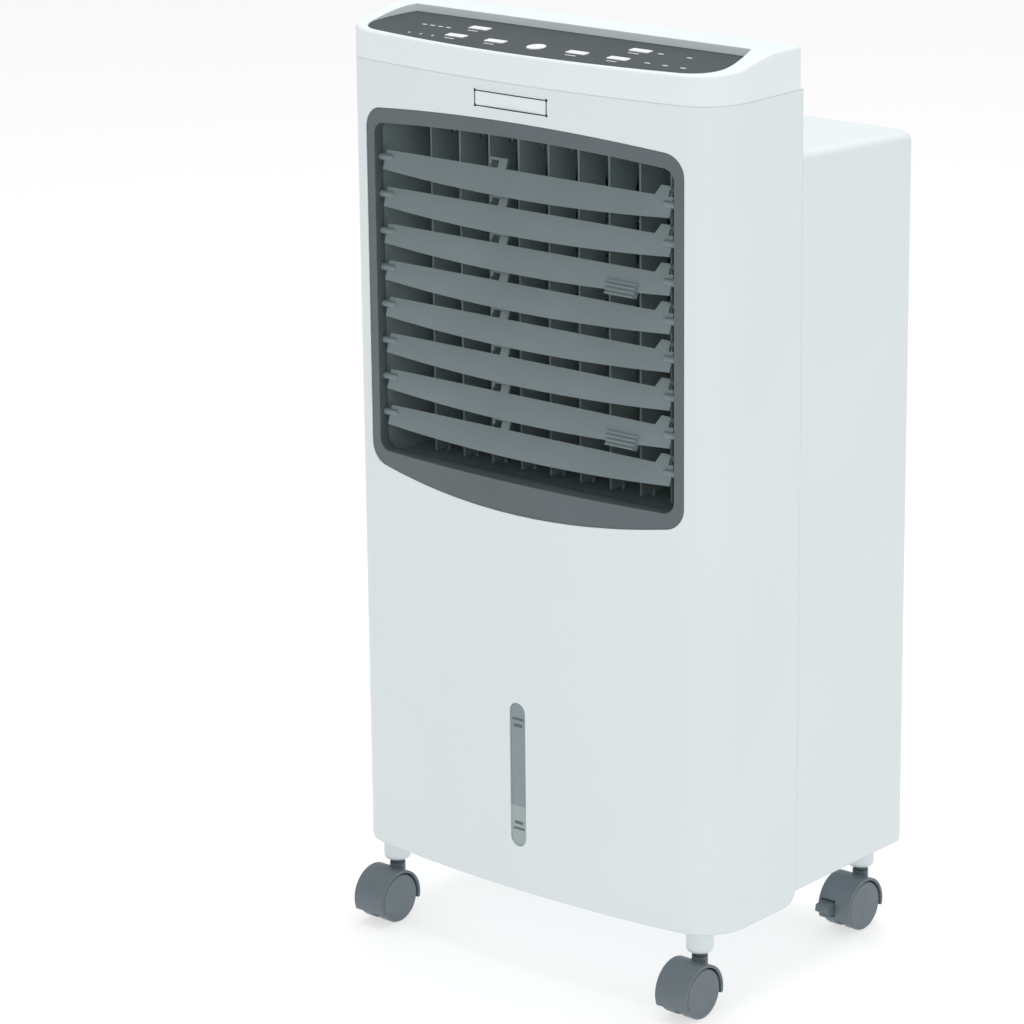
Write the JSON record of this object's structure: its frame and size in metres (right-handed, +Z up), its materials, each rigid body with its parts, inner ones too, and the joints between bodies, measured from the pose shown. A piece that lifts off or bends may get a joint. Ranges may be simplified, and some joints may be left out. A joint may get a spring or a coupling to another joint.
{
  "type": "tower evaporative cooler",
  "caption": "Tower evaporative cooler with bowed front, louvred outlet, touch keys, blower, pad, rear water drawer and swivel casters.",
  "frame": {"origin": "on the floor, under the middle of the whole object", "axes": "+Z up; the bowed front faces -Y; +X to the right of a person facing it"},
  "size_m": [0.344, 0.2578, 0.6923],
  "materials": {
    "white_body": "smooth satin white",
    "white_key": "smooth",
    "panel_grey": "fine satin",
    "bezel_grey": "fine satin",
    "louver_grey": "fine satin",
    "dark_inner": "matt",
    "window_clear": "polished",
    "caster_grey": "satin",
    "wheel_grey": "satin",
    "stem_steel": "zinc plated",
    "board_green": "lacquered",
    "motor_metal": "painted",
    "fan_grey": "matt",
    "pad_paper": "corrugated paper",
    "tank_grey": "satin",
    "hose_clear": "flexible",
    "screw_steel": "zinc plated"
  },
  "bodies": {
    "housing": {"front_housing": "white_body", "rear_housing": "white_body", "top_cover": "white_body", "control_overlay": "panel_grey", "control_board": "board_green", "grille_bezel": "bezel_grey", "vane_frame": "dark_inner", "swing_motor": "motor_metal", "level_window": "window_clear", "base_pan": "white_body", "caster_stems": "stem_steel", "cooling_pad": "pad_paper", "supply_hose": "hose_clear", "blower_casing": "dark_inner", "fan_motor": "motor_metal", "cord_gland": "dark_inner", "housing_screws": "screw_steel"},
    "key_1": {"key_1": "white_key"},
    "key_2": {"key_2": "white_key"},
    "key_3": {"key_3": "white_key"},
    "key_4": {"key_4": "white_key"},
    "key_5": {"key_5": "white_key"},
    "key_6": {"key_6": "white_key"},
    "key_7": {"key_7": "white_key"},
    "louver_1": {"louver_1": "louver_grey"},
    "louver_2": {"louver_2": "louver_grey"},
    "louver_3": {"louver_3": "louver_grey"},
    "louver_4": {"louver_4": "louver_grey"},
    "louver_5": {"louver_5": "louver_grey"},
    "louver_6": {"louver_6": "louver_grey"},
    "louver_7": {"louver_7": "louver_grey"},
    "louver_8": {"louver_8": "louver_grey"},
    "louver_link_upper": {"louver_link_upper": "louver_grey"},
    "louver_link_lower": {"louver_link_lower": "louver_grey"},
    "vane_1": {"vane_1": "dark_inner"},
    "vane_2": {"vane_2": "dark_inner"},
    "vane_3": {"vane_3": "dark_inner"},
    "vane_4": {"vane_4": "dark_inner"},
    "vane_5": {"vane_5": "dark_inner"},
    "vane_6": {"vane_6": "dark_inner"},
    "vane_7": {"vane_7": "dark_inner"},
    "vane_8": {"vane_8": "dark_inner"},
    "vane_9": {"vane_9": "dark_inner"},
    "vane_link": {"vane_link": "dark_inner"},
    "swing_crank": {"swing_crank": "dark_inner"},
    "caster_fl": {"caster_hood_fl": "caster_grey"},
    "wheels_fl": {"caster_wheels_fl": "wheel_grey"},
    "caster_fr": {"caster_hood_fr": "caster_grey"},
    "wheels_fr": {"caster_wheels_fr": "wheel_grey"},
    "caster_rl": {"caster_hood_rl": "caster_grey"},
    "wheels_rl": {"caster_wheels_rl": "wheel_grey"},
    "brake_rl": {"caster_brake_rl": "caster_grey"},
    "caster_rr": {"caster_hood_rr": "caster_grey"},
    "wheels_rr": {"caster_wheels_rr": "wheel_grey"},
    "brake_rr": {"caster_brake_rr": "caster_grey"},
    "rear_grille": {"rear_grille": "white_body"},
    "tank": {"water_tank": "tank_grey", "water_pump": "dark_inner"},
    "tank_latch": {"tank_latch": "white_key"},
    "fan_wheel": {"fan_wheel": "fan_grey"}
  },
  "joints": [
    {"name": "key_1_press", "type": "slide", "parent": "housing", "child": "key_1", "axis": [0, 0.0664, -0.9978], "range_m": [0, 0.0008], "stiffness_N_per_m": 600},
    {"name": "key_2_press", "type": "slide", "parent": "housing", "child": "key_2", "axis": [0, 0.0664, -0.9978], "range_m": [0, 0.0008], "stiffness_N_per_m": 600},
    {"name": "key_3_press", "type": "slide", "parent": "housing", "child": "key_3", "axis": [0, 0.0664, -0.9978], "range_m": [0, 0.0008], "stiffness_N_per_m": 600},
    {"name": "key_4_press", "type": "slide", "parent": "housing", "child": "key_4", "axis": [0, 0.0664, -0.9978], "range_m": [0, 0.0008], "stiffness_N_per_m": 600},
    {"name": "key_5_press", "type": "slide", "parent": "housing", "child": "key_5", "axis": [0, 0.0664, -0.9978], "range_m": [0, 0.0008], "stiffness_N_per_m": 600},
    {"name": "key_6_press", "type": "slide", "parent": "housing", "child": "key_6", "axis": [0, 0.0664, -0.9978], "range_m": [0, 0.0008], "stiffness_N_per_m": 600},
    {"name": "key_7_press", "type": "slide", "parent": "housing", "child": "key_7", "axis": [0, 0.0664, -0.9978], "range_m": [0, 0.0008], "stiffness_N_per_m": 600},
    {"name": "louver_1_tilt", "type": "hinge", "parent": "housing", "child": "louver_1", "pos_m": [0, -0.1076, 0.5913], "axis": [1, 0, 0], "range_deg": [-45, 10]},
    {"name": "louver_2_tilt", "type": "hinge", "parent": "housing", "child": "louver_2", "pos_m": [0, -0.1076, 0.56417], "axis": [1, 0, 0], "range_deg": [-45, 10]},
    {"name": "louver_3_tilt", "type": "hinge", "parent": "housing", "child": "louver_3", "pos_m": [0, -0.1076, 0.53704], "axis": [1, 0, 0], "range_deg": [-45, 10]},
    {"name": "louver_4_tilt", "type": "hinge", "parent": "housing", "child": "louver_4", "pos_m": [0, -0.1076, 0.50991], "axis": [1, 0, 0], "range_deg": [-45, 10]},
    {"name": "louver_5_tilt", "type": "hinge", "parent": "housing", "child": "louver_5", "pos_m": [0, -0.1076, 0.48278], "axis": [1, 0, 0], "range_deg": [-45, 10]},
    {"name": "louver_6_tilt", "type": "hinge", "parent": "housing", "child": "louver_6", "pos_m": [0, -0.1076, 0.45565], "axis": [1, 0, 0], "range_deg": [-45, 10]},
    {"name": "louver_7_tilt", "type": "hinge", "parent": "housing", "child": "louver_7", "pos_m": [0, -0.1076, 0.42852], "axis": [1, 0, 0], "range_deg": [-45, 10]},
    {"name": "louver_8_tilt", "type": "hinge", "parent": "housing", "child": "louver_8", "pos_m": [0, -0.1076, 0.40139], "axis": [1, 0, 0], "range_deg": [-45, 10]},
    {"name": "louver_link_upper_pivot", "type": "hinge", "parent": "louver_3", "child": "louver_link_upper", "pos_m": [0.1295, -0.10377, 0.54756], "axis": [1, 0, 0], "range_deg": [-10, 45]},
    {"name": "louver_link_lower_pivot", "type": "hinge", "parent": "louver_7", "child": "louver_link_lower", "pos_m": [0.1295, -0.10377, 0.43905], "axis": [1, 0, 0], "range_deg": [-10, 45]},
    {"name": "vane_1_swing", "type": "hinge", "parent": "housing", "child": "vane_1", "pos_m": [-0.11, -0.0681, 0.498], "axis": [0, 0, 1], "range_deg": [-30, 30]},
    {"name": "vane_2_swing", "type": "hinge", "parent": "housing", "child": "vane_2", "pos_m": [-0.0825, -0.0681, 0.498], "axis": [0, 0, 1], "range_deg": [-30, 30]},
    {"name": "vane_3_swing", "type": "hinge", "parent": "housing", "child": "vane_3", "pos_m": [-0.055, -0.0681, 0.498], "axis": [0, 0, 1], "range_deg": [-30, 30]},
    {"name": "vane_4_swing", "type": "hinge", "parent": "housing", "child": "vane_4", "pos_m": [-0.0275, -0.0681, 0.498], "axis": [0, 0, 1], "range_deg": [-30, 30]},
    {"name": "vane_5_swing", "type": "hinge", "parent": "housing", "child": "vane_5", "pos_m": [0, -0.0681, 0.498], "axis": [0, 0, 1], "range_deg": [-30, 30]},
    {"name": "vane_6_swing", "type": "hinge", "parent": "housing", "child": "vane_6", "pos_m": [0.0275, -0.0681, 0.498], "axis": [0, 0, 1], "range_deg": [-30, 30]},
    {"name": "vane_7_swing", "type": "hinge", "parent": "housing", "child": "vane_7", "pos_m": [0.055, -0.0681, 0.498], "axis": [0, 0, 1], "range_deg": [-30, 30]},
    {"name": "vane_8_swing", "type": "hinge", "parent": "housing", "child": "vane_8", "pos_m": [0.0825, -0.0681, 0.498], "axis": [0, 0, 1], "range_deg": [-30, 30]},
    {"name": "vane_9_swing", "type": "hinge", "parent": "housing", "child": "vane_9", "pos_m": [0.11, -0.0681, 0.498], "axis": [0, 0, 1], "range_deg": [-30, 30]},
    {"name": "vane_link_pivot", "type": "hinge", "parent": "vane_5", "child": "vane_link", "pos_m": [0, -0.0566, 0.6123], "axis": [0, 0, 1], "range_deg": [-30, 30]},
    {"name": "swing_crank_turn", "type": "hinge", "parent": "housing", "child": "swing_crank", "pos_m": [0.124, -0.0681, 0.625], "axis": [0, 0, 1], "range_deg": [-30, 30]},
    {"name": "caster_fl_swivel", "type": "hinge", "parent": "housing", "child": "caster_fl", "pos_m": [-0.1455, -0.0947, 0.042], "axis": [0, 0, 1], "continuous": true},
    {"name": "wheels_fl_roll", "type": "hinge", "parent": "caster_fl", "child": "wheels_fl", "pos_m": [-0.1455, -0.107, 0.0188], "axis": [1, 0, 0], "continuous": true},
    {"name": "caster_fr_swivel", "type": "hinge", "parent": "housing", "child": "caster_fr", "pos_m": [0.1455, -0.0947, 0.042], "axis": [0, 0, 1], "continuous": true},
    {"name": "wheels_fr_roll", "type": "hinge", "parent": "caster_fr", "child": "wheels_fr", "pos_m": [0.1455, -0.107, 0.0188], "axis": [1, 0, 0], "continuous": true},
    {"name": "caster_rl_swivel", "type": "hinge", "parent": "housing", "child": "caster_rl", "pos_m": [-0.137, 0.1131, 0.042], "axis": [0, 0, 1], "continuous": true},
    {"name": "wheels_rl_roll", "type": "hinge", "parent": "caster_rl", "child": "wheels_rl", "pos_m": [-0.137, 0.1008, 0.0188], "axis": [1, 0, 0], "continuous": true},
    {"name": "brake_rl_press", "type": "hinge", "parent": "caster_rl", "child": "brake_rl", "pos_m": [-0.1425, 0.08027, 0.01518], "axis": [-1, 0, 0], "range_deg": [0, 7]},
    {"name": "caster_rr_swivel", "type": "hinge", "parent": "housing", "child": "caster_rr", "pos_m": [0.137, 0.1131, 0.042], "axis": [0, 0, 1], "continuous": true},
    {"name": "wheels_rr_roll", "type": "hinge", "parent": "caster_rr", "child": "wheels_rr", "pos_m": [0.137, 0.1008, 0.0188], "axis": [1, 0, 0], "continuous": true},
    {"name": "brake_rr_press", "type": "hinge", "parent": "caster_rr", "child": "brake_rr", "pos_m": [0.1315, 0.08027, 0.01518], "axis": [-1, 0, 0], "range_deg": [0, 7]},
    {"name": "rear_grille_hinge", "type": "hinge", "parent": "housing", "child": "rear_grille", "pos_m": [0, 0.1237, 0.264], "axis": [-1, 0, 0], "range_deg": [0, 35]},
    {"name": "tank_slide", "type": "slide", "parent": "housing", "child": "tank", "axis": [0, 1, 0], "range_m": [0, 0.2]},
    {"name": "tank_latch_turn", "type": "hinge", "parent": "housing", "child": "tank_latch", "pos_m": [0, 0.1274, 0.229], "axis": [0, 1, 0], "range_deg": [0, 90]},
    {"name": "fan_wheel_spin", "type": "hinge", "parent": "housing", "child": "fan_wheel", "pos_m": [0, 0.0219, 0.498], "axis": [1, 0, 0], "continuous": true}
  ],
  "couplings": [
    {"joint": "louver_link_upper_pivot", "follows": "louver_3_tilt", "ratio": -1},
    {"joint": "louver_1_tilt", "follows": "louver_3_tilt", "ratio": 1},
    {"joint": "louver_2_tilt", "follows": "louver_3_tilt", "ratio": 1},
    {"joint": "louver_4_tilt", "follows": "louver_3_tilt", "ratio": 1},
    {"joint": "louver_link_lower_pivot", "follows": "louver_7_tilt", "ratio": -1},
    {"joint": "louver_5_tilt", "follows": "louver_7_tilt", "ratio": 1},
    {"joint": "louver_6_tilt", "follows": "louver_7_tilt", "ratio": 1},
    {"joint": "louver_8_tilt", "follows": "louver_7_tilt", "ratio": 1},
    {"joint": "vane_1_swing", "follows": "vane_5_swing", "ratio": 1},
    {"joint": "vane_2_swing", "follows": "vane_5_swing", "ratio": 1},
    {"joint": "vane_3_swing", "follows": "vane_5_swing", "ratio": 1},
    {"joint": "vane_4_swing", "follows": "vane_5_swing", "ratio": 1},
    {"joint": "vane_6_swing", "follows": "vane_5_swing", "ratio": 1},
    {"joint": "vane_7_swing", "follows": "vane_5_swing", "ratio": 1},
    {"joint": "vane_8_swing", "follows": "vane_5_swing", "ratio": 1},
    {"joint": "vane_9_swing", "follows": "vane_5_swing", "ratio": 1},
    {"joint": "vane_link_pivot", "follows": "vane_5_swing", "ratio": -1},
    {"joint": "swing_crank_turn", "follows": "vane_5_swing", "ratio": 1}
  ]
}
